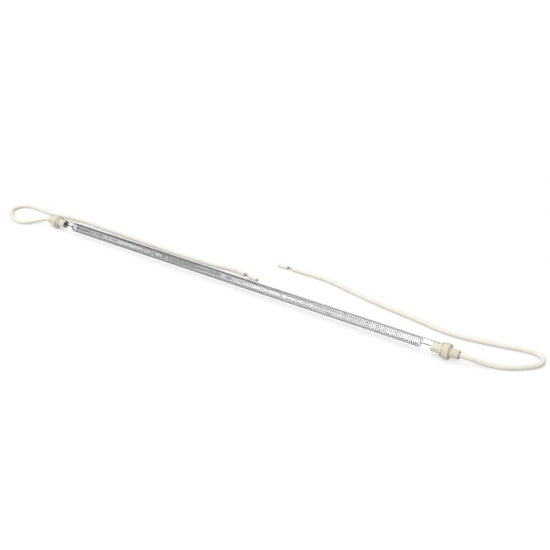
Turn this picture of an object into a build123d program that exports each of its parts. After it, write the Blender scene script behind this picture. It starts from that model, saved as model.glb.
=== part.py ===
from build123d import *
import math
import os

# A quartz heating tube: a clear quartz tube with a resistance coil inside, plugged at both ends
# by a ceramic cap, and a heat-proof lead at each end. It lies on its two round flanges and on
# its leads. X runs along the tube, Y to the back and Z up. The origin is under the middle of the
# tube, on the surface that it lies on. All sizes are in millimetres.

# Quartz tube
tube_outer_diameter = 10.0
tube_wall = 0.8
tube_length = 415.0

# Ceramic cap, from the nose inside the tube to the hub at the back
nose_clearance = 0.2
nose_length = 7.5
nose_wall = 1.2
nose_bore_depth = 13.5
front_ring_diameter = 11.4
front_ring_width = 1.4
groove_diameter = 10.0
groove_width = 1.1
flange_diameter = 13.0
rear_ring_width = 4.8
ring_bevel = 0.3
hub_diameter = 7.2
hub_length = 7.7
hub_bevel = 0.4

# Resistance wire and its coil
wire_diameter = 0.55
coil_clearance = 0.2
coil_pitch = 1.67
coil_gap_left = 11.8
coil_gap_right = 10.0
steps_per_turn = 4.75
coil_wire_sides = 3
wire_corner_share = 0.63

# The coil wire's straight ends, each twisted with a second strand
bend_length = 2.0
bend_steps = 4
bend_ease = 1.5
twist_pitch = 3.4
twist_steps_per_turn = 6
strand_gap = 0.12

# Crimp ferrule, pressed to a hexagon on the twisted end and on the lead's conductor
ferrule_length = 8.0
ferrule_wall = 0.75
ferrule_clearance = 0.12
ferrule_setback = 3.5
ferrule_middle_gap = 0.8

# Leads
lead_diameter = 4.0
lead_sides = 6
lead_clearance = 0.6
lead_offset = 0.3
lead_insertion = 5.5
lead_arc_share = 0.45
conductor_diameter = 1.5
strip_gap = 5.0
slug_length = 10.5
slug_clearance = 0.05
tip_recess = 0.6

# Worked out from the sizes above
axis_height = flange_diameter / 2
tube_bore = tube_outer_diameter - 2 * tube_wall
tube_end = tube_length / 2
nose_diameter = tube_bore - 2 * nose_clearance
nose_bore = nose_diameter - 2 * nose_wall
nose_end = tube_end - nose_length
flange_end = tube_end + front_ring_width + groove_width + rear_ring_width
cap_end = flange_end + hub_length
lead_bore = lead_diameter + 2 * lead_clearance
lead_start = cap_end - lead_insertion
floor_height = lead_diameter / 2
coil_left = coil_gap_left - nose_end
coil_right = nose_end - coil_gap_right
coil_turns = round((coil_right - coil_left) / coil_pitch)
coil_radius = tube_bore / 2 - coil_clearance - wire_diameter / 2

# The coil's wire has a three-sided section, whose corners stand out from the round wire to keep
# about the same mean size, and straight steps that meet on the round turn. A turn isn't a whole
# number of steps, which sets its corners between its neighbours' corners.
corner_reach = wire_corner_share * wire_diameter
step_angle = 2 * math.pi / steps_per_turn
coil_steps = round(coil_turns * steps_per_turn)
twist_radius = corner_reach + strand_gap / 2
ferrule_start = nose_end + ferrule_setback
ferrule_end = ferrule_start + ferrule_length
ferrule_grip = (ferrule_length - ferrule_middle_gap) / 2

# A lead and its conductor are six-sided, with the section area of the round ones, so their
# corners reach a little further out.
side_angle = 2 * math.pi / lead_sides
area_reach = math.sqrt(side_angle / math.sin(side_angle)) / 2
lead_reach = area_reach * lead_diameter
conductor_reach = area_reach * conductor_diameter
ferrule_bore = 2 * (max(twist_radius + corner_reach, conductor_reach) + ferrule_clearance)

# Where each lead lies, from the bore of its cap to the cut end of its insulation: how far out
# from the cap's end, how far back, and the height. Both drop to the surface, turn round beyond
# the cap and come back behind the tube, the right one in a wider loop. Each leaves its cap near
# the back of the hole.
left_drop_height = 0.53 * axis_height
right_drop_height = 0.51 * axis_height
left_route = [
    (-lead_insertion, lead_offset, axis_height),
    (5, lead_offset, axis_height),
    (15.5, -6, left_drop_height),
    (24.5, -14.8, floor_height),
    (37, -16, floor_height),
    (49.9, -8.5, floor_height),
    (59.3, -0.1, floor_height),
    (60.8, 9.9, floor_height),
    (53.6, 17.7, floor_height),
    (37.9, 18.2, floor_height),
    (21.1, 16.6, floor_height),
    (0.2, 19.9, floor_height),
    (-24.6, 22.5, floor_height),
    (-62.3, 20.7, floor_height),
    (-109, 19.7, floor_height),
    (-154.7, 18.3, floor_height),
    (-194.5, 19.3, floor_height),
    (-216.4, 23.4, floor_height),
    (-228.8, 20.8, floor_height),
]
right_route = [
    (-lead_insertion, lead_offset, axis_height),
    (4.5, lead_offset, axis_height),
    (16.1, 4.3, right_drop_height),
    (25.8, 7.1, floor_height),
    (36.6, 11.6, floor_height),
    (46.2, 18.7, floor_height),
    (54.7, 28, floor_height),
    (54.1, 37.1, floor_height),
    (47.1, 42.7, floor_height),
    (33.2, 40.9, floor_height),
    (18.3, 37.1, floor_height),
    (0.3, 33.7, floor_height),
    (-17.6, 31.2, floor_height),
    (-35.5, 32.6, floor_height),
    (-56.4, 36.7, floor_height),
    (-81.3, 39.8, floor_height),
    (-113.2, 45.4, floor_height),
    (-146, 53.3, floor_height),
    (-163.9, 53.8, floor_height),
    (-175.9, 53.3, floor_height),
    (-185.8, 53.4, floor_height),
]


def write(node, shape):
    """Write one piece to its own file."""
    export_step(shape, f"parts/{node}.step")


def on_axis(shape, side=1):
    """Lift a piece from the X axis to the tube's axis, turned to the left end if side is -1."""
    if side < 0:
        shape = mirror(shape, about=Plane.YZ)
    return shape.moved(Location((0, 0, axis_height)))


def turned(corners):
    """A turned solid round the X axis, from the corners (x, radius, bevel) of its half section."""
    outline = []
    for before, corner, after in zip(corners[-1:] + corners, corners, corners[1:] + corners[:1]):
        x, radius, bevel = corner
        point = Vector(x, radius)
        if bevel == 0:
            outline.append(point)
            continue
        for neighbour_x, neighbour_radius, _ in (before, after):
            outline.append(point + (Vector(neighbour_x, neighbour_radius) - point).normalized() * bevel)
    return revolve(make_face(Polyline(*outline, close=True)), Axis.X)


def along_x(section, start, length):
    """A straight piece along the X axis with this section."""
    plane = Plane(origin=(start, 0, 0), x_dir=(0, 1, 0), z_dir=(1, 0, 0))
    return extrude(plane * section, amount=length)


def mitred_wire(points):
    """A three-sided wire along points, with a mitre joint at each of them."""
    runs = [(end - start).normalized() for start, end in zip(points, points[1:])]
    first = Plane(origin=points[0], z_dir=runs[0])
    corner = Vector(corner_reach, 0)
    corners = [corner.rotate(Axis.Z, 360 * i / coil_wire_sides) for i in range(coil_wire_sides)]
    ring = [first.from_local_coords(corner) for corner in corners]
    rings = [ring]
    for point, run, following in zip(points[1:], runs, runs[1:] + runs[-1:]):
        mitre = (run + following).normalized()
        ring = [p + run * ((point - p).dot(mitre) / run.dot(mitre)) for p in ring]
        rings.append(ring)
    faces = [Face(Wire.make_polygon(rings[0])), Face(Wire.make_polygon(rings[-1]))]
    for near, far in zip(rings, rings[1:]):
        for i in range(coil_wire_sides):
            j = (i + 1) % coil_wire_sides
            faces.append(Face(Wire.make_polygon([near[i], near[j], far[j], far[i]])))
    return Solid(Shell(faces))


def around(x, radius, angle):
    """The point at this distance from the X axis and this angle round it."""
    return Vector(x, radius * math.cos(angle), radius * math.sin(angle))


def coil_end(out):
    """Where the coil ends along X, at the right if out is 1, and its angle round the axis there."""
    if out > 0:
        return coil_right, step_angle * coil_steps
    return coil_left, 0


def bend_points(out):
    """The wire's bend from the last turn of the coil in to the axis."""
    start, start_angle = coil_end(out)
    points = []
    for k in range(1, bend_steps):
        share = k / bend_steps
        ease = (1 - math.cos(math.pi * share)) / 2
        radius = coil_radius + (twist_radius - coil_radius) * ease
        x = start + out * bend_length * share ** bend_ease
        points.append(around(x, radius, start_angle + out * step_angle * k))
    return points


def twist_points(out, phase):
    """One strand of the twisted end, from the bend into the ferrule."""
    coil_x, start_angle = coil_end(out)
    start = coil_x + out * bend_length
    length = ferrule_start + ferrule_grip - abs(start)
    steps = round(length / twist_pitch * twist_steps_per_turn)
    rise = out * length / steps
    twist = out * 2 * math.pi / twist_steps_per_turn
    angle = start_angle + out * step_angle * bend_steps + phase
    return [around(start + rise * k, twist_radius, angle + twist * k) for k in range(steps + 1)]


def heating_coil():
    """The whole resistance wire: twisted end, bend, coil, bend, twisted end."""
    rise = (coil_right - coil_left) / coil_steps
    coil = [around(coil_left + rise * k, coil_radius, step_angle * k) for k in range(coil_steps + 1)]
    left_end = bend_points(-1) + twist_points(-1, 0)
    right_end = bend_points(1) + twist_points(1, 0)
    return mitred_wire(left_end[::-1] + coil + right_end)


def tail_strand(out):
    """The second strand of a twisted end, half a turn round from the coil's own wire."""
    return mitred_wire(twist_points(out, math.pi))


def quartz_tube():
    """The clear tube, open at both ends."""
    return along_x(Circle(tube_outer_diameter / 2) - Circle(tube_bore / 2), -tube_end, tube_length)


def ceramic_cap():
    """The right cap: nose in the tube, two rings with a groove between them, and the hub."""
    groove_start = tube_end + front_ring_width
    groove_end = groove_start + groove_width
    bore_step = nose_end + nose_bore_depth
    return turned([
        (nose_end, nose_bore / 2, 0),
        (nose_end, nose_diameter / 2, 0),
        (tube_end, nose_diameter / 2, 0),
        (tube_end, front_ring_diameter / 2, 0),
        (groove_start, front_ring_diameter / 2, 0),
        (groove_start, groove_diameter / 2, 0),
        (groove_end, groove_diameter / 2, 0),
        (groove_end, flange_diameter / 2, ring_bevel),
        (flange_end, flange_diameter / 2, ring_bevel),
        (flange_end, hub_diameter / 2, 0),
        (cap_end, hub_diameter / 2, hub_bevel),
        (cap_end, lead_bore / 2, 0),
        (bore_step, lead_bore / 2, 0),
        (bore_step, nose_bore / 2, 0),
    ])


def crimp_ferrule():
    """The right ferrule: a short tube pressed to a hexagon, inside and out."""
    bore = RegularPolygon(ferrule_bore / 2, 6, major_radius=False)
    outside = RegularPolygon(ferrule_bore / 2 + ferrule_wall, 6, major_radius=False)
    return along_x(outside - bore, ferrule_start, ferrule_length)


def inner_conductor():
    """The right lead's bare conductor, from inside the ferrule to the end of the insulation."""
    start = ferrule_end - ferrule_grip
    return along_x(RegularPolygon(conductor_reach, lead_sides), start, lead_start - start)


def placed(route, out):
    """A lead's route in the tube's own axes."""
    return [Vector(out * (cap_end + reach), back, height) for reach, back, height in route]


def corner_radii(points):
    """For each corner of a route, the arc that takes up most of the shorter run beside it."""
    runs = [end - start for start, end in zip(points, points[1:])]
    radii = []
    for before, after in zip(runs, runs[1:]):
        half_turn = math.radians(before.get_angle(after)) / 2
        radii.append(lead_arc_share * min(before.length, after.length) / math.tan(half_turn))
    return radii


def across(point, direction):
    """The plane across a lead, turned so that a flat side of its section is down."""
    return Plane(origin=point, x_dir=direction.cross(Vector(0, 0, 1)), z_dir=direction)


def lead(points):
    """One insulated lead along its route, straight runs joined by arcs."""
    radii = corner_radii(points)
    path = FilletPolyline(*points, radius=radii)
    start = across(points[0], points[1] - points[0])
    solid = sweep(start * RegularPolygon(lead_reach, lead_sides), path=path)
    expected = math.pi * lead_diameter ** 2 / 4 * path.length
    print("lead length", round(path.length, 1), "radii", [round(radius, 1) for radius in radii])
    print("volume over section times length", round(solid.volume / expected, 3))
    return solid


def beyond_end(points, section, start, length):
    """A straight piece on the line that the lead's last run goes on along."""
    direction = (points[-1] - points[-2]).normalized()
    return extrude(across(points[-1] + direction * start, direction) * section, amount=length)


def stripped_conductor(points):
    """The bare conductor in the gap, which goes on into the slug."""
    length = strip_gap + slug_length - tip_recess
    return beyond_end(points, RegularPolygon(conductor_reach, lead_sides), 0, length)


def insulation_slug(points):
    """The end of the insulation, cut round and pulled along but left on the conductor."""
    bore = RegularPolygon(conductor_reach + slug_clearance, lead_sides)
    return beyond_end(points, RegularPolygon(lead_reach, lead_sides) - bore, strip_gap, slug_length)


os.makedirs("parts", exist_ok=True)
write("quartz_tube", on_axis(quartz_tube()))
write("heating_coil", on_axis(heating_coil()))
for end, out, route in (("left", -1, left_route), ("right", 1, right_route)):
    points = placed(route, out)
    write(f"{end}_ceramic_cap", on_axis(ceramic_cap(), out))
    write(f"{end}_crimp_ferrule", on_axis(crimp_ferrule(), out))
    write(f"{end}_inner_conductor", on_axis(inner_conductor(), out))
    write(f"{end}_tail_strand", on_axis(tail_strand(out)))
    write(f"{end}_lead", lead(points))
    write(f"{end}_stripped_conductor", stripped_conductor(points))
    write(f"{end}_insulation_slug", insulation_slug(points))
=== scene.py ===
# %% [markdown]
# # A quartz heating tube
#
# The object is a clear quartz tube with a coil of resistance wire inside. A ceramic cap plugs each
# end, and a cream lead comes out of each cap, drops to the table and curls back behind the tube.
# The frame gives the true place and size of every piece, so the first step loads it and keeps its
# box. Everything that follows is measured from it, in metres.

# %% Load the frame
import math

import bmesh
import bpy
from mathutils import Matrix, Vector


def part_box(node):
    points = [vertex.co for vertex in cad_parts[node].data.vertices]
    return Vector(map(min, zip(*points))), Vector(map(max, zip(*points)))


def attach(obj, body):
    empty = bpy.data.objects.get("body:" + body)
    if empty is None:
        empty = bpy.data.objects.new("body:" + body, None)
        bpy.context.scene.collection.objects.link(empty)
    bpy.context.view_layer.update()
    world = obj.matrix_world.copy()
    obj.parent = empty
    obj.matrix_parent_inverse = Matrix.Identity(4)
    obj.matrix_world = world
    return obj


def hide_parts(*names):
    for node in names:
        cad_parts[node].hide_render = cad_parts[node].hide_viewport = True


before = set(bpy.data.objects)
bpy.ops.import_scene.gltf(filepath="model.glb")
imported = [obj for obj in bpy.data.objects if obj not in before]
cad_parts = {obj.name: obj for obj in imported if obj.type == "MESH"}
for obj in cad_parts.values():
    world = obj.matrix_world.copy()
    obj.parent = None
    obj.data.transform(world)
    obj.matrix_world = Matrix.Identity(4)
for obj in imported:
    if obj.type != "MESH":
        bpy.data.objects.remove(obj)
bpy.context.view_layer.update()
BODY = "root"
MM = 0.001
print("nodes:", len(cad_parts))

# %% [markdown]
# ## Places that the pieces share
#
# The tube lies along X, at the height of its flanges' radius. Its radius and its ends, and the ends
# of the caps, set where the other pieces go, so they are read once here.

# %% Read the shared places
tube_low, tube_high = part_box("quartz_tube")
cap_low, cap_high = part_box("right_ceramic_cap")
AXIS_HEIGHT = (tube_low.z + tube_high.z) / 2
TUBE_RADIUS = (tube_high.z - tube_low.z) / 2
TUBE_END = tube_high.x
CAP_START = cap_low.x
CAP_END = cap_high.x
TUBE_WALL = 0.8 * MM
BORE_RADIUS = TUBE_RADIUS - TUBE_WALL
AXIS = Vector((0, 0, AXIS_HEIGHT))
print("tube radius and end in mm:", round(TUBE_RADIUS / MM, 2), round(TUBE_END / MM, 2))

# %% [markdown]
# ## The camera
#
# The photograph looks down on the tube from the front right. The view angle and the place come
# from fitting the two ends of the tube and the floor that the leads lie on.

# %% Set the camera
VIEW_ANGLE = math.radians(35.86)
CAMERA_PLACE = Vector((406.6, -528.6, 370.3)) * MM
CAMERA_DIRECTION = Vector((-0.4888, 0.7304, -0.4771))

camera_data = bpy.data.cameras.new("camera")
camera_data.sensor_fit = "HORIZONTAL"
camera_data.angle = VIEW_ANGLE
camera = bpy.data.objects.new("camera", camera_data)
camera.location = CAMERA_PLACE
camera.rotation_euler = CAMERA_DIRECTION.to_track_quat("-Z", "Y").to_euler()
bpy.context.scene.collection.objects.link(camera)
bpy.context.scene.camera = camera
print("lens in mm:", round(camera_data.lens, 1))

# %% [markdown]
# ## Small helpers for node trees
#
# Materials and Geometry Nodes are both trees of nodes. A few helpers keep the steps short: the
# first adds a node and fills its sockets, the next ones do a sum, grade a number or mix two
# colours, and the last ones make a material with its output ready to be fed, and give it to a
# piece.


# %% Helpers for nodes
def add_node(tree, kind, inputs=None, **settings):
    """Add a node, set its properties, and feed each named or numbered input a value or a socket."""
    node = tree.nodes.new(kind)
    for name, value in settings.items():
        setattr(node, name, value)
    for name, value in (inputs or {}).items():
        if isinstance(value, bpy.types.NodeSocket):
            tree.links.new(value, node.inputs[name])
        else:
            node.inputs[name].default_value = value
    return node


def maths(tree, operation, first, second=0.0):
    """One sum of two numbers or sockets, as a socket."""
    return add_node(tree, "ShaderNodeMath", {0: first, 1: second}, operation=operation).outputs[0]


def vector_maths(tree, operation, first, second=(0.0, 0.0, 0.0)):
    """One sum of two vectors or sockets, as a socket: a number for a length or a dot product."""
    node = add_node(tree, "ShaderNodeVectorMath", {0: first, 1: second}, operation=operation)
    return node.outputs["Value" if operation in ("LENGTH", "DOT_PRODUCT") else "Vector"]


def grade(tree, value, limits=(0.0, 1.0), results=(0.0, 1.0), smooth=False):
    """A number that goes from one result to the other while the value crosses its limits."""
    node = add_node(tree, "ShaderNodeMapRange",
                    {0: value, 1: limits[0], 2: limits[1], 3: results[0], 4: results[1]},
                    interpolation_type="SMOOTHSTEP" if smooth else "LINEAR")
    return node.outputs[0]


def mix_colours(tree, share, first, second):
    """A colour between two colours or sockets, as a socket."""
    node = add_node(tree, "ShaderNodeMix", {0: share, 6: first, 7: second}, data_type="RGBA")
    return node.outputs[2]


def new_material(name):
    """A node material with only its output, and that output's Surface socket."""
    material = bpy.data.materials.new(name)
    material.use_nodes = True
    tree = material.node_tree
    tree.nodes.clear()
    output = tree.nodes.new("ShaderNodeOutputMaterial")
    return material, tree, output.inputs["Surface"]


def give_material(piece, material):
    """Make this the piece's only material."""
    piece.data.materials.clear()
    piece.data.materials.append(material)


print("node helpers are ready")

# %% [markdown]
# ## Unevenness, shared by the finishes
#
# No fired ceramic, lacquered braid or oxidised wire is one even colour. A small node group gives
# two things: a mask of soft clouds with fine specks, and the same as a height. The materials that
# use it mix two colours of their own with the mask, and the ceramic feeds the height to a Bump
# node.

# %% Build the unevenness group
MASK_RANGE = (0.35, 0.65)


def make_unevenness_group():
    """Soft clouds and fine specks in object space, as a mask and a height."""
    group = bpy.data.node_groups.new("unevenness", "ShaderNodeTree")
    sockets = group.interface
    for name, value in (("Cloud scale", 150.0), ("Speck scale", 2500.0), ("Speck share", 0.3)):
        socket = sockets.new_socket(name=name, in_out="INPUT", socket_type="NodeSocketFloat")
        socket.default_value = value
    for name in ("Mask", "Height"):
        sockets.new_socket(name=name, in_out="OUTPUT", socket_type="NodeSocketFloat")
    inside = group.nodes.new("NodeGroupInput")
    outside = group.nodes.new("NodeGroupOutput")
    place = group.nodes.new("ShaderNodeTexCoord").outputs["Object"]
    clouds = add_node(group, "ShaderNodeTexNoise",
                      {"Vector": place, "Scale": inside.outputs["Cloud scale"], "Detail": 4.0})
    specks = add_node(group, "ShaderNodeTexNoise",
                      {"Vector": place, "Scale": inside.outputs["Speck scale"], "Detail": 2.0})
    mixed = add_node(group, "ShaderNodeMix",
                     {0: inside.outputs["Speck share"], 2: clouds.outputs[0], 3: specks.outputs[0]})
    group.links.new(grade(group, mixed.outputs[0], MASK_RANGE), outside.inputs["Mask"])
    group.links.new(mixed.outputs[0], outside.inputs["Height"])
    return group


unevenness_group = make_unevenness_group()
print("group:", unevenness_group.name)

# %% [markdown]
# ## Quartz
#
# Fused quartz is as clear as water and bends light a little less than window glass. The tube was
# drawn, so faint streaks run along it. A Principled shader with full transmission gives the glass.
# For the lamps' own rays it is swapped for a plain see-through one, because light that reaches the
# coil through real glass would otherwise be lost. Its grey is what the wall's two faces turn away.

# %% Make the quartz
QUARTZ_IOR = 1.458
QUARTZ_COLOUR = (0.995, 0.998, 0.998, 1.0)
WALL_TINT = (0.9, 0.905, 0.905, 1.0)
STREAK_SCALE = (3.0, 500.0, 500.0)

quartz, tree, surface = new_material("clear_quartz")
place = tree.nodes.new("ShaderNodeTexCoord").outputs["Object"]
stretched = add_node(tree, "ShaderNodeMapping", {"Vector": place, "Scale": STREAK_SCALE}).outputs[0]
streaks = add_node(tree, "ShaderNodeTexNoise", {"Vector": stretched, "Scale": 1.0, "Detail": 2.0})
drawn = add_node(tree, "ShaderNodeBump",
                 {"Height": streaks.outputs[0], "Strength": 0.04, "Distance": 0.05 * MM})
glass = add_node(tree, "ShaderNodeBsdfPrincipled", {
    "Base Color": QUARTZ_COLOUR,
    "Roughness": 0.02,
    "IOR": QUARTZ_IOR,
    "Transmission Weight": 1.0,
    "Normal": drawn.outputs[0],
})
see_through = add_node(tree, "ShaderNodeBsdfTransparent", {"Color": WALL_TINT})
rays = tree.nodes.new("ShaderNodeLightPath").outputs
quartz_mix = add_node(tree, "ShaderNodeMixShader",
                      {0: rays["Is Shadow Ray"], 1: glass.outputs[0], 2: see_through.outputs[0]})
tree.links.new(quartz_mix.outputs[0], surface)
print("material:", quartz.name)

# %% [markdown]
# ## Resistance wire
#
# The wire is an iron alloy that has glowed once, so a grey oxide covers it, and it differs a little
# from turn to turn. On top of that the coil is painted paler towards the left end and much paler
# towards the right one, and darkest a little left of the middle. That is painted sheen: brightness
# put into the colour for how the coil catches the light there. So the colour is mixed from a dark
# and a pale grey by the place along the tube, with the unevenness group's mask added. The two tails
# stay dark. The wire is a metal, and rough enough that its highlights are soft streaks. Each of the
# two painted paler stretches is given by where it sets in and is full, and by its share there.

# %% Make the resistance wire's finish
DARK_OXIDE = (0.015, 0.014, 0.013, 1.0)
# The pale grey serves both the oxide's own variation and the painted sheen.
PALE_OXIDE_AND_SHEEN = (0.32, 0.31, 0.3, 1.0)
# Painted sheen: paler stretches that stand in for how brightly the coil catches the light.
PAINTED_SHEEN_LEFT = ((-70 * MM, -160 * MM), 0.3)
PAINTED_SHEEN_RIGHT = ((-40 * MM, 80 * MM), 0.8)
PALE_BY_TURN = 0.2
TAIL_START = 190 * MM
WIRE_ROUGHNESS = (0.42, 0.24)

resistance_wire, tree, surface = new_material("resistance_wire")
uneven = add_node(tree, "ShaderNodeGroup",
                  {"Cloud scale": 90.0, "Speck scale": 1800.0, "Speck share": 0.45},
                  node_tree=unevenness_group)
place = tree.nodes.new("ShaderNodeTexCoord").outputs["Object"]
along = add_node(tree, "ShaderNodeSeparateXYZ", {0: place}).outputs["X"]
oxide_and_sheen_share = maths(tree, "MULTIPLY", uneven.outputs["Mask"], PALE_BY_TURN)
# The two stretches add painted sheen to the wire's colour.
for limits, share in (PAINTED_SHEEN_LEFT, PAINTED_SHEEN_RIGHT):
    painted_sheen_share = grade(tree, along, limits, (0.0, share), smooth=True)
    oxide_and_sheen_share = maths(tree, "ADD", oxide_and_sheen_share, painted_sheen_share)
in_coil = maths(tree, "LESS_THAN", maths(tree, "ABSOLUTE", along), TAIL_START)
wire_tone_and_sheen = mix_colours(tree, maths(tree, "MULTIPLY", oxide_and_sheen_share, in_coil), DARK_OXIDE, PALE_OXIDE_AND_SHEEN)
roughness = grade(tree, uneven.outputs["Mask"], results=WIRE_ROUGHNESS)
metal = add_node(tree, "ShaderNodeBsdfPrincipled",
                 {"Base Color": wire_tone_and_sheen, "Metallic": 1.0, "Roughness": roughness})
tree.links.new(metal.outputs[0], surface)
print("material:", resistance_wire.name)

# %% [markdown]
# ## White ceramic
#
# The caps are fired, unglazed ceramic: off-white, matt, with a faint grain and slightly yellower
# clouds. A very low bump takes the machine-made look off the turned faces. The bore is painted dark
# brown as painted shade for the deep hole. The rim of the mouth, where the hot wire goes in, is
# darkened with the same brown. Both marks follow the distance from the tube's axis, so the material
# works that distance out from object coordinates. A mark is given by where it is full and where it
# has faded out.

# %% Make the ceramic
CERAMIC_TONES = ((0.76, 0.69, 0.55, 1.0), (0.82, 0.77, 0.64, 1.0))
# Painted shade: the deep bore is painted dark brown, and the mouth's rim is darkened with the same
# brown.
PAINTED_SHADE_BROWN = (0.17, 0.12, 0.075, 1.0)
BORE_SHADE_REACH = (2.65 * MM, 2.9 * MM)
RIM_DARKENING = (2.9 * MM, 3.9 * MM)
MOUTH_DARKENING = (CAP_START + 0.5 * MM, CAP_START + 3.0 * MM)
RIM_DARK_SHARE = 0.7

ceramic, tree, surface = new_material("white_ceramic")
uneven = add_node(tree, "ShaderNodeGroup", {"Cloud scale": 260.0, "Speck scale": 4200.0},
                  node_tree=unevenness_group)
tone = mix_colours(tree, uneven.outputs["Mask"], *CERAMIC_TONES)
place = tree.nodes.new("ShaderNodeTexCoord").outputs["Object"]
spot = vector_maths(tree, "SUBTRACT", place, AXIS)
radius = vector_maths(tree, "LENGTH", vector_maths(tree, "MULTIPLY", spot, (0.0, 1.0, 1.0)))
along = maths(tree, "ABSOLUTE", add_node(tree, "ShaderNodeSeparateXYZ", {0: spot}).outputs["X"])
bore_shade_share = grade(tree, radius, BORE_SHADE_REACH, (1.0, 0.0))
rim_dark_share = grade(tree, radius, RIM_DARKENING, (RIM_DARK_SHARE, 0.0))
mouth_dark_share = grade(tree, along, MOUTH_DARKENING, (1.0, 0.0))
painted_dark_share = maths(tree, "MAXIMUM", bore_shade_share, maths(tree, "MULTIPLY", rim_dark_share, mouth_dark_share))
darkened_tone = mix_colours(tree, painted_dark_share, tone, PAINTED_SHADE_BROWN)
grain = add_node(tree, "ShaderNodeBump",
                 {"Height": uneven.outputs["Height"], "Strength": 0.35, "Distance": 0.06 * MM})
matt = add_node(tree, "ShaderNodeBsdfPrincipled",
                {"Base Color": darkened_tone, "Roughness": 0.62, "Normal": grain.outputs[0]})
tree.links.new(matt.outputs[0], surface)
print("material:", ceramic.name)

# %% [markdown]
# ## The leads' braid
#
# The insulation is a glass-fibre braid under a smooth heat-proof coat, so its diamonds show only
# faintly. A braid is two sets of strands that wind opposite ways and pass over and under each
# other. Seen flat, that is a grid turned by its two diagonals: in each cell of the grid one set is
# on top. The group reads the piece's own UV map, where one direction runs along the lead and the
# other round it, and puts out the height of the weave.


# %% Build the braid group
def make_braid_group():
    """The height of a two-way braid, from how many diamonds fit along and round a piece."""
    group = bpy.data.node_groups.new("glass_fibre_braid", "ShaderNodeTree")
    sockets = group.interface
    for name, value in (("Diamonds along", 100.0), ("Diamonds round", 8.0)):
        socket = sockets.new_socket(name=name, in_out="INPUT", socket_type="NodeSocketFloat")
        socket.default_value = value
    sockets.new_socket(name="Height", in_out="OUTPUT", socket_type="NodeSocketFloat")
    inside = group.nodes.new("NodeGroupInput")
    outside = group.nodes.new("NodeGroupOutput")
    place = group.nodes.new("ShaderNodeTexCoord").outputs["UV"]
    flat = add_node(group, "ShaderNodeSeparateXYZ", {0: place})
    along = maths(group, "MULTIPLY", flat.outputs["X"], inside.outputs["Diamonds along"])
    around = maths(group, "MULTIPLY", flat.outputs["Y"], inside.outputs["Diamonds round"])
    one_way = maths(group, "ADD", along, around)
    other_way = maths(group, "SUBTRACT", along, around)
    heights = []
    for diagonal in (one_way, other_way):
        across = maths(group, "MULTIPLY", maths(group, "FRACT", diagonal), math.pi)
        heights.append(maths(group, "SINE", across))
    cells = maths(group, "ADD", maths(group, "FLOOR", one_way), maths(group, "FLOOR", other_way))
    on_top = maths(group, "FLOORED_MODULO", cells, 2.0)
    woven = add_node(group, "ShaderNodeMix", {0: on_top, 2: heights[0], 3: heights[1]})
    group.links.new(woven.outputs[0], outside.inputs["Height"])
    return group


braid_group = make_braid_group()
print("group:", braid_group.name)

# %% [markdown]
# ## One braid material for each length
#
# The UV map of a lead runs from 0 to 1 over its whole length, so the number of diamonds along it
# depends on that length. A function makes the material for a length, and keeps the diamonds the
# same size on the long leads and on the short slugs.

# %% Make the braid materials
BRAID_TONES = ((0.94, 0.88, 0.76, 1.0), (0.97, 0.94, 0.85, 1.0))
DIAMOND_LENGTH = 1.5 * MM
DIAMONDS_ROUND = 8


def braid_material(name, length):
    """The lead's finish, with the braid's diamonds scaled to this length of lead."""
    material, tree, surface = new_material(name)
    uneven = add_node(tree, "ShaderNodeGroup", {"Cloud scale": 60.0}, node_tree=unevenness_group)
    braid = add_node(tree, "ShaderNodeGroup", {
        "Diamonds along": round(length / DIAMOND_LENGTH), "Diamonds round": DIAMONDS_ROUND,
    }, node_tree=braid_group)
    weave = add_node(tree, "ShaderNodeBump",
                     {"Height": braid.outputs[0], "Strength": 0.3, "Distance": 0.08 * MM})
    coat = add_node(tree, "ShaderNodeBsdfPrincipled", {
        "Base Color": mix_colours(tree, uneven.outputs["Mask"], *BRAID_TONES),
        "Roughness": 0.48,
        "Normal": weave.outputs[0],
        "Sheen Weight": 0.15,
    })
    tree.links.new(coat.outputs[0], surface)
    return material


print("one diamond in mm:", DIAMOND_LENGTH / MM, "along, and", DIAMONDS_ROUND, "go round a lead")

# %% [markdown]
# ## Tinned copper
#
# The leads' conductors are fine copper strands with a skin of tin. Where one is bared it has gone
# a dull, slightly warm grey. The hidden ferrules are plated with the same kind of skin.

# %% Make the tinned copper
TIN_TONES = ((0.3, 0.27, 0.24, 1.0), (0.45, 0.43, 0.4, 1.0))
TIN_ROUGHNESS = (0.45, 0.3)

tinned_copper, tree, surface = new_material("tinned_copper")
uneven = add_node(tree, "ShaderNodeGroup", {"Cloud scale": 700.0}, node_tree=unevenness_group)
skin = mix_colours(tree, uneven.outputs["Mask"], *TIN_TONES)
roughness = grade(tree, uneven.outputs["Mask"], results=TIN_ROUGHNESS)
tin = add_node(tree, "ShaderNodeBsdfPrincipled",
               {"Base Color": skin, "Metallic": 1.0, "Roughness": roughness})
tree.links.new(tin.outputs[0], surface)
print("material:", tinned_copper.name)

# %% [markdown]
# ## A soft outline
#
# The tube and the caps are round about the X axis, so each is one half outline turned round it.
# The outline's corners are softened with short arcs first, because fired ceramic and melted glass
# have no sharp edges and the arcs catch the light. Smooth shading would spread an arc's lean over
# the whole long face beside it, and on glass that shows as a dark edge. So a point close to each
# end of an arc holds the face's own direction.

# %% Soften an outline
HOLD = 0.02 * MM


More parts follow.
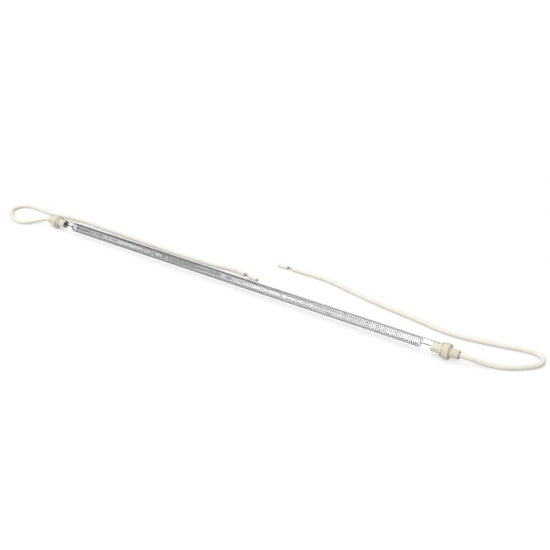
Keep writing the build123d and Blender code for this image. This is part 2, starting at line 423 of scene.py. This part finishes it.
def soften(corners, arc_steps=5):
    """Replace each corner (x, radius, rounding) of a closed outline by an arc of that rounding."""
    outline = []
    for before, corner, after in zip(corners[-1:] + corners, corners, corners[1:] + corners[:1]):
        point = Vector(corner[:2])
        rounding = corner[2]
        back = (Vector(before[:2]) - point).normalized()
        on = (Vector(after[:2]) - point).normalized()
        half = back.angle(on) / 2
        reach = rounding / math.tan(half)
        centre = point + (back + on).normalized() * (rounding / math.sin(half))
        start = point + back * reach - centre
        end = point + on * reach - centre
        outline.append(point + back * (reach + HOLD))
        for k in range(arc_steps + 1):
            outline.append(centre + start.slerp(end, k / arc_steps) * rounding)
        outline.append(point + on * (reach + HOLD))
    return outline


print("distance from an arc to its holding point in mm:", HOLD / MM)

# %% [markdown]
# ## From outline to piece
#
# Every point of the outline becomes a ring of points round the axis, and neighbouring rings are
# joined. The leads will be made of rings too, so the joining is a helper of its own. The faces are
# then made to point outwards, the piece is given its material, and it rides on the part's one body.

# %% Helpers for pieces made of rings
SHARP_EDGE = math.radians(40)


def ring_faces(count, segments, closed=True):
    """Faces between neighbouring rings of points, and from the last to the first if closed."""
    faces = []
    for i in range(count if closed else count - 1):
        near = i * segments
        far = (i + 1) % count * segments
        for k in range(segments):
            following = (k + 1) % segments
            faces.append((near + k, near + following, far + following, far + k))
    return faces


def turned_piece(name, corners, segments, material):
    """A closed mesh turned round the tube's axis from a half outline."""
    outline = soften(corners)
    points = []
    for x, radius in outline:
        for k in range(segments):
            angle = 2 * math.pi * k / segments
            points.append((x, radius * math.cos(angle), radius * math.sin(angle) + AXIS_HEIGHT))
    return mesh_piece(name, points, ring_faces(len(outline), segments), material)


def mesh_piece(name, points, faces, material):
    """A smooth mesh object that rides on the body, with its normals made to point outwards."""
    mesh = bpy.data.meshes.new(name)
    mesh.from_pydata(points, [], faces)
    mesh.validate()
    piece = bpy.data.objects.new(name, mesh)
    bpy.context.scene.collection.objects.link(piece)
    outwards(piece)
    mesh.shade_smooth()
    mesh.set_sharp_from_angle(angle=SHARP_EDGE)
    give_material(piece, material)
    finish_piece(piece)
    return piece


def outwards(piece):
    """Recalculate a closed mesh's normals to point outwards."""
    shape = bmesh.new()
    shape.from_mesh(piece.data)
    bmesh.ops.recalc_face_normals(shape, faces=shape.faces)
    shape.to_mesh(piece.data)
    shape.free()


def finish_piece(piece):
    """The piece rides on the one body, and its name and faces are printed."""
    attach(piece, BODY)
    print(piece.name, "faces:", len(piece.data.polygons))


print("edges stay sharp from, in degrees:", round(math.degrees(SHARP_EDGE)))

# %% [markdown]
# ## The lie of the leads
#
# Each lead is one length of limp cord. It comes straight out of its cap, drops to the table within
# a few centimetres, turns round beyond the cap and runs back behind the tube. A NURBS spline makes
# such a line from few points: it passes near them in one smooth curve, as a limp cord lies. The
# points are given as distances from the end of the cap, so both leads are written alike.

# %% Route points, in millimetres outward from the cap's end, back, and up
LEAD_DIAMETER = 4.0 * MM
LEAD_HEIGHT = LEAD_DIAMETER / 2 / MM
EXIT_HEIGHT = AXIS_HEIGHT / MM
EXIT_OFFSET = 0.3
LEFT_ROUTE = [
    (-5.5, EXIT_OFFSET, EXIT_HEIGHT), (5, EXIT_OFFSET, EXIT_HEIGHT),
    (15.5, -6, 0.53 * EXIT_HEIGHT),
    (24.5, -14.8, LEAD_HEIGHT), (37, -16, LEAD_HEIGHT), (49.9, -8.5, LEAD_HEIGHT),
    (59.3, -0.1, LEAD_HEIGHT), (60.8, 9.9, LEAD_HEIGHT), (53.6, 17.7, LEAD_HEIGHT),
    (37.9, 18.2, LEAD_HEIGHT), (21.1, 16.6, LEAD_HEIGHT), (0.2, 19.9, LEAD_HEIGHT),
    (-24.6, 22.5, LEAD_HEIGHT), (-62.3, 20.7, LEAD_HEIGHT), (-109, 19.7, LEAD_HEIGHT),
    (-154.7, 18.3, LEAD_HEIGHT), (-194.5, 19.3, LEAD_HEIGHT), (-216.4, 23.4, LEAD_HEIGHT),
    (-228.8, 20.8, LEAD_HEIGHT),
]
RIGHT_ROUTE = [
    (-5.5, EXIT_OFFSET, EXIT_HEIGHT), (4.5, EXIT_OFFSET, EXIT_HEIGHT),
    (16.1, 4.3, 0.51 * EXIT_HEIGHT),
    (25.8, 7.1, LEAD_HEIGHT), (36.6, 11.6, LEAD_HEIGHT), (46.2, 18.7, LEAD_HEIGHT),
    (54.7, 28, LEAD_HEIGHT), (54.1, 37.1, LEAD_HEIGHT), (47.1, 42.7, LEAD_HEIGHT),
    (33.2, 40.9, LEAD_HEIGHT), (18.3, 37.1, LEAD_HEIGHT), (0.3, 33.7, LEAD_HEIGHT),
    (-17.6, 31.2, LEAD_HEIGHT), (-35.5, 32.6, LEAD_HEIGHT), (-56.4, 36.7, LEAD_HEIGHT),
    (-81.3, 39.8, LEAD_HEIGHT), (-113.2, 45.4, LEAD_HEIGHT), (-146, 53.3, LEAD_HEIGHT),
    (-163.9, 53.8, LEAD_HEIGHT), (-175.9, 53.3, LEAD_HEIGHT), (-185.8, 53.4, LEAD_HEIGHT),
]


def placed(route, out):
    """A route's points in metres: at the right end if out is 1, and at the left one if it is -1."""
    return [Vector((out * (CAP_END + reach * MM), back * MM, height * MM))
            for reach, back, height in route]


routes = {"left": placed(LEFT_ROUTE, -1), "right": placed(RIGHT_ROUTE, 1)}
print("route points:", {end: len(points) for end, points in routes.items()})

# %% [markdown]
# ## From route to line
#
# The spline is a curve object for a moment only. Blender works out its smooth line, and the points
# of that line are read back, so that a tube with its own UV map can be laid along them.

# %% Read the smooth line of a route
LINE_STEPS = 12
LINE_ORDER = 3


def smooth_line(points):
    """The points of the NURBS line that has these control points."""
    data = bpy.data.curves.new("route", "CURVE")
    data.dimensions = "3D"
    data.resolution_u = LINE_STEPS
    spline = data.splines.new("NURBS")
    spline.points.add(len(points) - 1)
    for control, place in zip(spline.points, points):
        control.co = (*place, 1.0)
    spline.order_u = LINE_ORDER
    spline.use_endpoint_u = True
    curve = bpy.data.objects.new("route", data)
    bpy.context.scene.collection.objects.link(curve)
    mesh = bpy.data.meshes.new_from_object(curve)
    line = [vertex.co.copy() for vertex in mesh.vertices]
    bpy.data.objects.remove(curve)
    bpy.data.curves.remove(data)
    bpy.data.meshes.remove(mesh)
    return line


def line_length(line):
    """The length of a line of points."""
    return sum((after - before).length for before, after in zip(line, line[1:]))


lead_lines = {end: smooth_line(points) for end, points in routes.items()}
for end, line in lead_lines.items():
    print(end, "lead:", len(line), "points,", round(line_length(line) / MM, 1), "mm")

# %% [markdown]
# ## A tube along a line
#
# Insulation is a tube round the line: a ring of points stands across the line at each of its
# points, and neighbouring rings are joined. The two directions across are carried on from ring to
# ring, so the tube never twists. The UV map holds the length along the lead and the way round it,
# which is what the braid needs. The ends are drawn in a little, because a knife rounds the edge.

# %% Build insulation
END_ROUNDING = 0.15 * MM


def frames_along(line):
    """For each point of a line: the point, its direction, and two directions across it."""
    frames = []
    side = None
    for before, point, after in zip(line[:1] + line, line, line[1:] + line[-1:]):
        direction = (after - before).normalized()
        if side is None:
            side = direction.cross(Vector((0, 0, 1)))
        side = (side - direction * side.dot(direction)).normalized()
        frames.append((point, direction, side, side.cross(direction)))
    return frames


def insulation(name, line, bore, segments=24):
    """A lead's insulation along a line, closed by end faces, or open along a bore if it has one."""
    radius = LEAD_DIAMETER / 2
    frames = frames_along(line)
    rings = [(point, side, up, radius) for point, _, side, up in frames]
    for place, sign in ((0, 1), (-1, -1)):
        point, direction, side, up = frames[place]
        rings[place] = (point + direction * sign * END_ROUNDING, side, up, radius)
        rings.insert(0 if sign > 0 else len(rings), (point, side, up, radius - END_ROUNDING))
    if bore:
        rings += [(point, side, up, bore) for point, side, up, _ in reversed(rings)]
    points = []
    for point, side, up, reach in rings:
        for k in range(segments):
            angle = 2 * math.pi * k / segments
            points.append(point + (side * math.cos(angle) + up * math.sin(angle)) * reach)
    faces = ring_faces(len(rings), segments, closed=bool(bore))
    if not bore:
        faces += [tuple(range(segments)), tuple(range(len(points) - segments, len(points)))]
    length = line_length(line)
    braid = braid_material(name + "_braid", length)
    piece = mesh_piece(name, points, faces, braid)
    shares = [0.0]
    for (before, *_), (after, *_) in zip(rings, rings[1:]):
        shares.append(shares[-1] + (after - before).length / length)
    wrap(piece, shares, segments)
    return piece


def wrap(piece, shares, segments):
    """The UV map of a piece made of rings, from each ring's share of the whole length."""
    layer = piece.data.uv_layers.new(name="braid")
    for face in piece.data.polygons:
        places = [vertex % segments for vertex in face.vertices]
        closes = min(places) == 0 and max(places) == segments - 1
        for loop in face.loop_indices:
            ring, place = divmod(piece.data.loops[loop].vertex_index, segments)
            if closes and place == 0:
                place = segments
            layer.data[loop].uv = (shares[ring], place / segments)


leads = {end: insulation(end + "_lead_cord", line, 0) for end, line in lead_lines.items()}

# %% [markdown]
# ## Wound wire
#
# The coil is one wire wound into 226 turns. Its two ends bend in to the axis and are twisted with
# a second strand, and the leads' conductors are strands twisted together. All of these are the
# same form: a wire that winds round the X axis at a steady pitch while its distance from the axis
# may change. So one Geometry Nodes tree makes them all. It puts a row of points on the helix,
# turns the row into a curve, gives the curve a round section, and repeats it for each strand.
# A steady rule like this is far easier to change in nodes than in a modelled mesh.
#
# The line comes first. A slow noise moves its turns a little to and fro along the axis, and fades
# out at both ends, so that the ends stay in place.

# %% The line of a wound wire
DRIFT_WAVES = 55.0
DRIFT_FADE = 4.0


def drift_along(tree, share, unevenness):
    """How far each point strays along the axis, from its share of the way along the wire."""
    waves = maths(tree, "MULTIPLY", share, DRIFT_WAVES)
    noise = add_node(tree, "ShaderNodeTexNoise", {"W": waves, "Scale": 1.0, "Detail": 2.0},
                     noise_dimensions="1D").outputs[0]
    stray = maths(tree, "MULTIPLY", maths(tree, "SUBTRACT", noise, 0.5), unevenness)
    from_ends = maths(tree, "SINE", maths(tree, "MULTIPLY", share, math.pi))
    fade = maths(tree, "MINIMUM", maths(tree, "MULTIPLY", from_ends, DRIFT_FADE), 1.0)
    return maths(tree, "MULTIPLY", fade, stray)


def helix_place(tree, given):
    """The place on the wire's line of each point of a row, as a socket."""
    index = tree.nodes.new("GeometryNodeInputIndex").outputs[0]
    share = maths(tree, "DIVIDE", index, given["Steps"])
    swing = maths(tree, "COSINE", maths(tree, "MULTIPLY", share, math.pi))
    ease = maths(tree, "MULTIPLY", maths(tree, "SUBTRACT", 1.0, swing), 0.5)
    growth = maths(tree, "SUBTRACT", given["End radius"], given["Start radius"])
    radius = maths(tree, "ADD", given["Start radius"], maths(tree, "MULTIPLY", growth, ease))
    slowed = maths(tree, "POWER", share, given["Slow start"])
    steady = maths(tree, "ADD", given["Start"], maths(tree, "MULTIPLY", given["Length"], slowed))
    turned = maths(tree, "MULTIPLY", maths(tree, "MULTIPLY", given["Turns"], share), 2 * math.pi)
    angle = maths(tree, "ADD", given["Start angle"], turned)
    return add_node(tree, "ShaderNodeCombineXYZ", {
        "X": maths(tree, "ADD", steady, drift_along(tree, share, given["Unevenness"])),
        "Y": maths(tree, "MULTIPLY", radius, maths(tree, "COSINE", angle)),
        "Z": maths(tree, "MULTIPLY", radius, maths(tree, "SINE", angle)),
    }).outputs[0]


print("noise waves along a wire:", DRIFT_WAVES)

# %% [markdown]
# ## The wire round the line
#
# The tree lays its row of points on that line, sweeps a ring along it, and sets the wire on a
# second row of points that all lie on the axis. Each of those turns its copy by an equal share of
# a full turn, which makes the strands.


# %% Build the wound-wire tree
def make_wound_wire_tree():
    """Strands of round wire, wound round the X axis from Start over Length."""
    tree = bpy.data.node_groups.new("wound_wire", "GeometryNodeTree")
    sockets = tree.interface
    for name, kind in (
        ("Start", "Float"), ("Length", "Float"), ("Turns", "Float"), ("Start angle", "Float"),
        ("Start radius", "Float"), ("End radius", "Float"), ("Slow start", "Float"),
        ("Steps", "Int"), ("Wire radius", "Float"), ("Sides", "Int"), ("Strands", "Int"),
        ("Unevenness", "Float"), ("Material", "Material"),
    ):
        sockets.new_socket(name=name, in_out="INPUT", socket_type="NodeSocket" + kind)
    sockets.new_socket(name="Geometry", in_out="OUTPUT", socket_type="NodeSocketGeometry")
    given = tree.nodes.new("NodeGroupInput").outputs
    result = tree.nodes.new("NodeGroupOutput").inputs["Geometry"]

    count = maths(tree, "ADD", given["Steps"], 1.0)
    row = add_node(tree, "GeometryNodeMeshLine", {"Count": count, "Offset": (0, 0, 0)})
    wound = add_node(tree, "GeometryNodeSetPosition",
                     {"Geometry": row.outputs[0], "Position": helix_place(tree, given)})
    curve = add_node(tree, "GeometryNodeMeshToCurve", {"Mesh": wound.outputs[0]})
    ring = add_node(tree, "GeometryNodeCurvePrimitiveCircle",
                    {"Resolution": given["Sides"], "Radius": given["Wire radius"]})
    wire = add_node(tree, "GeometryNodeCurveToMesh", {
        "Curve": curve.outputs[0], "Profile Curve": ring.outputs[0], "Fill Caps": True,
    })
    strands = add_node(tree, "GeometryNodeMeshLine",
                       {"Count": given["Strands"], "Offset": (0, 0, 0)})
    strand = tree.nodes.new("GeometryNodeInputIndex").outputs[0]
    phase = maths(tree, "MULTIPLY", maths(tree, "DIVIDE", strand, given["Strands"]), 2 * math.pi)
    turn = add_node(tree, "ShaderNodeCombineXYZ", {"X": phase})
    repeated = add_node(tree, "GeometryNodeInstanceOnPoints", {
        "Points": strands.outputs[0],
        "Instance": wire.outputs[0],
        "Rotation": turn.outputs[0],
    })
    real = add_node(tree, "GeometryNodeRealizeInstances", {"Geometry": repeated.outputs[0]})
    dressed = add_node(tree, "GeometryNodeSetMaterial",
                       {"Geometry": real.outputs[0], "Material": given["Material"]})
    tree.links.new(dressed.outputs[0], result)
    return tree


wound_wire_tree = make_wound_wire_tree()
print("tree:", wound_wire_tree.name, "nodes:", len(wound_wire_tree.nodes))

# %% [markdown]
# ## Baking the wire
#
# A finished piece is a plain mesh with its place in its vertices. So each run of wire is made by a
# throw-away object with the tree as its modifier, and the result is copied into a mesh. The runs of
# one piece are joined, and the piece is then lifted to the tube's axis, or laid along a lead.

# %% Helpers for baked wire
WIRE_DEFAULTS = {
    "Start angle": 0.0, "Slow start": 1.0, "Sides": 8, "Strands": 1, "Unevenness": 0.0,
}
SHARP_WIRE_EDGE = math.radians(60)


def wound_wire(**values):
    """One run of wound wire as a mesh, from the tree's inputs. A _ stands for a space in a name."""
    holder = bpy.data.objects.new("wire", bpy.data.meshes.new("wire"))
    bpy.context.scene.collection.objects.link(holder)
    modifier = holder.modifiers.new("wound wire", "NODES")
    modifier.node_group = wound_wire_tree
    inputs = {**WIRE_DEFAULTS, **{name.replace("_", " "): value for name, value in values.items()}}
    for socket in wound_wire_tree.interface.items_tree:
        if socket.in_out == "INPUT":
            modifier[socket.identifier] = inputs[socket.name]
    evaluated = holder.evaluated_get(bpy.context.evaluated_depsgraph_get())
    mesh = bpy.data.meshes.new_from_object(evaluated)
    bpy.data.objects.remove(holder)
    return mesh


def wire_piece(name, runs, place, material):
    """One piece from runs of wire, moved by the matrix place."""
    shape = bmesh.new()
    for run in runs:
        shape.from_mesh(run)
        bpy.data.meshes.remove(run)
    bmesh.ops.recalc_face_normals(shape, faces=shape.faces)
    mesh = bpy.data.meshes.new(name)
    shape.to_mesh(mesh)
    shape.free()
    mesh.transform(place)
    mesh.shade_smooth()
    mesh.set_sharp_from_angle(angle=SHARP_WIRE_EDGE)
    piece = bpy.data.objects.new(name, mesh)
    bpy.context.scene.collection.objects.link(piece)
    give_material(piece, material)
    finish_piece(piece)
    return piece


TO_AXIS = Matrix.Translation(AXIS)
print("lift to the tube's axis in mm:", round(AXIS_HEIGHT / MM, 2))

# %% [markdown]
# ## The heating coil
#
# The coil is the heater itself: one long wire, wound a little smaller than the bore and stopped
# short of the caps. The left end stops a little further from its cap than the right one. Each end
# bends in over almost one turn and runs to the cap along the axis. Such a coil is wound close and
# then pulled out, so its turns stray from even spacing by a few tenths of a millimetre.

# %% Wind the coil
WIRE_RADIUS = 0.275 * MM
COIL_RADIUS = 3.725 * MM
LEFT_GAP = 11.8 * MM
RIGHT_GAP = 10.0 * MM
COIL_LEFT = LEFT_GAP - CAP_START
COIL_RIGHT = CAP_START - RIGHT_GAP
COIL_TURNS = 226
STEPS_PER_TURN = 32
PITCH_DRIFT = 1.2 * MM
BEND_LENGTH = 2.0 * MM
BEND_TURNS = 0.84
BEND_STEPS = 40
TWIST_RADIUS = 0.29 * MM
TWIST_PITCH = 3.4 * MM
TWIST_STEPS = 96
TAIL_END = 207.1 * MM

coil_look = {"Wire_radius": WIRE_RADIUS, "Material": resistance_wire}
runs = [wound_wire(
    Start=COIL_LEFT, Length=COIL_RIGHT - COIL_LEFT, Turns=COIL_TURNS,
    Start_radius=COIL_RADIUS, End_radius=COIL_RADIUS,
    Steps=COIL_TURNS * STEPS_PER_TURN, Unevenness=PITCH_DRIFT, **coil_look,
)]
for end, out, start in (("left", -1, COIL_LEFT), ("right", 1, COIL_RIGHT)):
    runs.append(wound_wire(
        Start=start, Length=out * BEND_LENGTH, Turns=out * BEND_TURNS, Slow_start=1.5,
        Start_radius=COIL_RADIUS, End_radius=TWIST_RADIUS, Steps=BEND_STEPS, **coil_look,
    ))
    twist_start = start + out * BEND_LENGTH
    twist_length = out * TAIL_END - twist_start
    twist = {
        "Start": twist_start, "Length": twist_length, "Turns": twist_length / TWIST_PITCH,
        "Start_radius": TWIST_RADIUS, "End_radius": TWIST_RADIUS, "Steps": TWIST_STEPS,
    }
    begin = out * BEND_TURNS * 2 * math.pi
    runs.append(wound_wire(Start_angle=begin, **twist, **coil_look))
    second = wound_wire(Start_angle=begin + math.pi, **twist, **coil_look)
    name = end + "_tail_strand_wire"
    wire_piece(name, [second], TO_AXIS, resistance_wire)
    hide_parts(end + "_tail_strand")
coil = wire_piece("heating_coil_wire", runs, TO_AXIS, resistance_wire)
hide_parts("heating_coil")
print("room to the bore in mm:", round((BORE_RADIUS - COIL_RADIUS - WIRE_RADIUS) / MM, 3))
print("wire in the coil, in m:", round(2 * math.pi * COIL_RADIUS * COIL_TURNS, 2))

# %% [markdown]
# ## The quartz tube
#
# The tube is cut from drawn stock and its ends are melted for a moment, which rounds their edges.
# Glass needs a real wall with two surfaces, or it would bend the light like a solid rod, so the
# outline is the section of the wall and not only its outside.

# %% Turn the tube
TUBE_EDGE = 0.3 * MM
TUBE_SEGMENTS = 128

tube = turned_piece("quartz_tube_glass", [
    (-TUBE_END, BORE_RADIUS, TUBE_EDGE),
    (TUBE_END, BORE_RADIUS, TUBE_EDGE),
    (TUBE_END, TUBE_RADIUS, TUBE_EDGE),
    (-TUBE_END, TUBE_RADIUS, TUBE_EDGE),
], TUBE_SEGMENTS, quartz)
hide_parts("quartz_tube")

# %% [markdown]
# ## The end caps
#
# A cap is one pressed and fired ceramic part: a nose that plugs the tube, a narrow front ring, a
# groove for a sheet bracket, a wider flange, and a hub at the back with the hole for the lead.
# Pressing leaves every outer edge rounded, and that rounding draws the bright and dark lines that
# tell the rings apart from a step away.

# %% Turn the caps, from places, radii and roundings in millimetres
CAP_SEGMENTS = 96
CAP_OUTLINE = [
    (200.0, 2.8, 0.2), (200.0, 4.0, 0.35), (207.5, 4.0, 0.2), (207.5, 5.7, 0.3),
    (208.9, 5.7, 0.25), (208.9, 5.0, 0.2), (210.0, 5.0, 0.2), (210.0, 6.5, 0.4),
    (214.8, 6.5, 0.4), (214.8, 3.7, 0.5), (222.5, 3.6, 0.4), (222.5, 2.6, 0.2),
    (213.5, 2.6, 0.1), (213.5, 2.8, 0.05),
]
for end, out in (("left", -1), ("right", 1)):
    corners = [(out * x * MM, radius * MM, rounding * MM) for x, radius, rounding in CAP_OUTLINE]
    turned_piece(end + "_cap", corners, CAP_SEGMENTS, ceramic)
    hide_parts(end + "_ceramic_cap")

# %% [markdown]
# ## The bared lead ends
#
# Near its end each lead's insulation is cut round and pulled along, so that a few millimetres of
# the conductor show and the cut slug still covers its tip. The conductor is six strands twisted
# round a seventh. The slug is open at both ends, because the conductor goes through it.

# %% Make the conductors and slugs
STRIP_GAP = 5.0 * MM
SLUG_LENGTH = 10.5 * MM
SLUG_BORE = 0.8 * MM
TIP_RECESS = 0.6 * MM
STRAND_RADIUS = 0.25 * MM
STRAND_PITCH = 11.0 * MM
STRAND_STEPS = 60
OUTER_STRANDS = 6
INSIDE_LEAD = 1.5 * MM


def beyond_end(line, start, length, steps=8):
    """Points on the straight line on which a lead's end goes on."""
    direction = (line[-1] - line[-2]).normalized()
    return [line[-1] + direction * (start + length * k / steps) for k in range(steps + 1)]


for end, line in lead_lines.items():
    slug = insulation(end + "_slug", beyond_end(line, STRIP_GAP, SLUG_LENGTH), SLUG_BORE)
    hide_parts(end + "_insulation_slug")
    length = INSIDE_LEAD + STRIP_GAP + SLUG_LENGTH - TIP_RECESS
    look = {"Start": -INSIDE_LEAD, "Length": length, "Wire_radius": STRAND_RADIUS,
            "Material": tinned_copper, "Steps": STRAND_STEPS}
    outer = wound_wire(Turns=length / STRAND_PITCH, Start_radius=2 * STRAND_RADIUS,
                       End_radius=2 * STRAND_RADIUS, Strands=OUTER_STRANDS, **look)
    middle = wound_wire(Turns=0.0, Start_radius=0.0, End_radius=0.0, **look)
    direction = (line[-1] - line[-2]).normalized()
    place = Matrix.Translation(line[-1]) @ direction.to_track_quat("X", "Z").to_matrix().to_4x4()
    name = end + "_bared_strands"
    strands = wire_piece(name, [outer, middle], place, tinned_copper)
    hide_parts(end + "_stripped_conductor")

# %% [markdown]
# ## Hiding the frame's leads
#
# The frame measures every cord. Its own lead shapes are hidden, since the leads are made above, and
# each made lead's length is printed. The photograph shows both leads from the cap to the cut end,
# so that is all the lead there is.

for end, out in (("left", -1), ("right", 1)):
    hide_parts(end + "_lead")
    line = lead_lines[end]
    print(end, "lead declared:", round(line_length(line) / MM, 1), "mm")

# %% [markdown]
# ## Hidden joints
#
# Inside each cap a crimped ferrule joins the coil's twisted end to the lead's conductor. The
# frame's own shapes are right for these, so they only get a finish.

# %% Finish the hidden pieces
for end in ("left", "right"):
    for hidden in (end + "_crimp_ferrule", end + "_inner_conductor"):
        give_material(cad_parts[hidden], tinned_copper)
        print(hidden, "finish:", tinned_copper.name)

# %% [markdown]
# ## Rays that make the picture
#
# The table and the room are white to the camera. If they shone as brightly on the object, it would
# lose its shading. So how bright they are depends on the ray that asks. The camera's own rays make
# the picture, and so do those that it sends on by a mirror or through glass, as long as no matt
# surface is met first. Rays that come back out of the glass after a mirroring can be told apart
# too, by how many surfaces of each kind they have met. Those numbers are whole, so each limit lies
# half-way between two of them.


# %% Helpers for rays
def picture_rays(tree, rays):
    """1 for rays that make the picture, and 0 for rays that gather light for a matt surface."""
    straight = maths(tree, "MAXIMUM", rays["Is Camera Ray"], rays["Is Glossy Ray"])
    straight = maths(tree, "MAXIMUM", straight, rays["Is Transmission Ray"])
    return maths(tree, "MULTIPLY", straight, maths(tree, "LESS_THAN", rays["Diffuse Depth"], 0.5))


def mirrored_in_glass(tree, rays):
    """1 for rays that leave the glass after a mirroring in it, at its edge or on the wire."""
    mirrored = maths(tree, "GREATER_THAN", rays["Glossy Depth"], 0.5)
    return maths(tree, "MULTIPLY", mirrored, rays["Is Transmission Ray"])


def wire_rays(tree, rays):
    """1 for those of them that went through the whole wall and back, and so met the wire."""
    deep = maths(tree, "GREATER_THAN", rays["Transmission Depth"], 2.5)
    return maths(tree, "MULTIPLY", mirrored_in_glass(tree, rays), deep)


def choose(tree, share, first, second):
    """The first number where share is 0, and the second where it is 1."""
    return add_node(tree, "ShaderNodeMix", {0: share, 2: first, 3: second}).outputs[0]


print("ray helpers are ready")

# %% [markdown]
# ## The table
#
# The tube was photographed on a white table. The table's own colour is a middle grey, which takes
# the shadows, and a glow for the rays that make the picture turns it white. The glow is lower
# round the object, where the shadow is, and full further out. Near the object it is stronger
# where the table is seen through the glass, and none for what the wire mirrors.

# %% Lay the table
TABLE_SIZE = 6.0
TABLE_COLOUR = 0.5
TABLE_GLOW = 0.55
TABLE_GLOW_IN_GLASS = 0.76
TABLE_GLOW_IN_WIRE = 0.0
FAR_GLOW = 0.3
SHADOW_REACH = (0.35, 1.0)
WHITE = (1.0, 1.0, 1.0, 1.0)

half = TABLE_SIZE / 2
table_mesh = bpy.data.meshes.new("table")
table_mesh.from_pydata([(-half, -half, 0), (half, -half, 0), (half, half, 0), (-half, half, 0)], [],
                       [(0, 1, 2, 3)])
table = bpy.data.objects.new("table", table_mesh)
bpy.context.scene.collection.objects.link(table)

table_material, tree, surface = new_material("white_table")
rays = tree.nodes.new("ShaderNodeLightPath").outputs
glow = choose(tree, rays["Is Transmission Ray"], TABLE_GLOW, TABLE_GLOW_IN_GLASS)
glow = choose(tree, wire_rays(tree, rays), glow, TABLE_GLOW_IN_WIRE)
place = tree.nodes.new("ShaderNodeTexCoord").outputs["Object"]
distance = vector_maths(tree, "LENGTH", place)
far = grade(tree, distance, SHADOW_REACH, (0.0, FAR_GLOW), smooth=True)
strength = maths(tree, "MULTIPLY", maths(tree, "ADD", glow, far), picture_rays(tree, rays))
grey = (TABLE_COLOUR, TABLE_COLOUR, TABLE_COLOUR, 1.0)
paper = add_node(tree, "ShaderNodeBsdfDiffuse", {"Color": grey})
shine = add_node(tree, "ShaderNodeEmission", {"Color": WHITE, "Strength": strength})
both = add_node(tree, "ShaderNodeAddShader", {0: paper.outputs[0], 1: shine.outputs[0]})
tree.links.new(both.outputs[0], surface)
give_material(table, table_material)
print("table:", TABLE_SIZE, "m")

# %% [markdown]
# ## The room in the glass and in the wire
#
# The room is white to the camera. Metal and glass show what stands round them, and in the
# photograph that is not all white: the wire is bright only where it faces the front, and a thin
# dark line draws the upper edge of the glass. So rays that come back from the wire see a room that
# is bright in front and dark behind, and rays turned round at the edge of the glass see a dim one.

# %% Set the room's light
WORLD_LIGHT = 0.54
GLASS_EDGE_LIGHT = 0.12
FRONT = Vector((0.0, -0.8, 0.6))
FRONT_EDGE = (0.2, 0.8)
BEHIND_WIRE = 0.05
BEFORE_WIRE = 2.8

world = bpy.data.worlds.new("studio")
bpy.context.scene.world = world
world.use_nodes = True
tree = world.node_tree
tree.nodes.clear()
rays = tree.nodes.new("ShaderNodeLightPath").outputs
direction = tree.nodes.new("ShaderNodeTexCoord").outputs["Generated"]
towards_front = vector_maths(tree, "DOT_PRODUCT", direction, FRONT)
room_in_wire = grade(tree, towards_front, FRONT_EDGE, (BEHIND_WIRE, BEFORE_WIRE), smooth=True)
strength = choose(tree, mirrored_in_glass(tree, rays), 1.0, GLASS_EDGE_LIGHT)
strength = choose(tree, wire_rays(tree, rays), strength, room_in_wire)
strength = choose(tree, picture_rays(tree, rays), WORLD_LIGHT, strength)
sky = add_node(tree, "ShaderNodeBackground", {"Color": WHITE, "Strength": strength})
horizon = add_node(tree, "ShaderNodeOutputWorld")
tree.links.new(sky.outputs[0], horizon.inputs["Surface"])
print("world:", world.name)

# %% [markdown]
# ## Lamps
#
# The light in the photograph is soft and comes from all round. Two broad area lamps give it a
# direction: the stronger one stands in front, and the other hangs above and a little behind.

# %% Hang the lamps, each given by its place and size in metres and its power in watts
LAMPS = {
    "overhead": ((-0.1, 0.3, 1.3), 0.9, 4.3),
    "front": ((-0.15, -0.95, 0.85), 1.1, 7.6),
}


def soft_lamp(name, place, size, power):
    """A square lamp that faces the middle of the tube."""
    data = bpy.data.lights.new(name, "AREA")
    data.size = size
    data.energy = power
    lamp = bpy.data.objects.new(name, data)
    lamp.location = place
    lamp.rotation_euler = (AXIS - Vector(place)).to_track_quat("-Z", "Y").to_euler()
    bpy.context.scene.collection.objects.link(lamp)


for name, (place, size, power) in LAMPS.items():
    soft_lamp(name, place, size, power)
scene = bpy.context.scene
scene.view_settings.view_transform = "Standard"
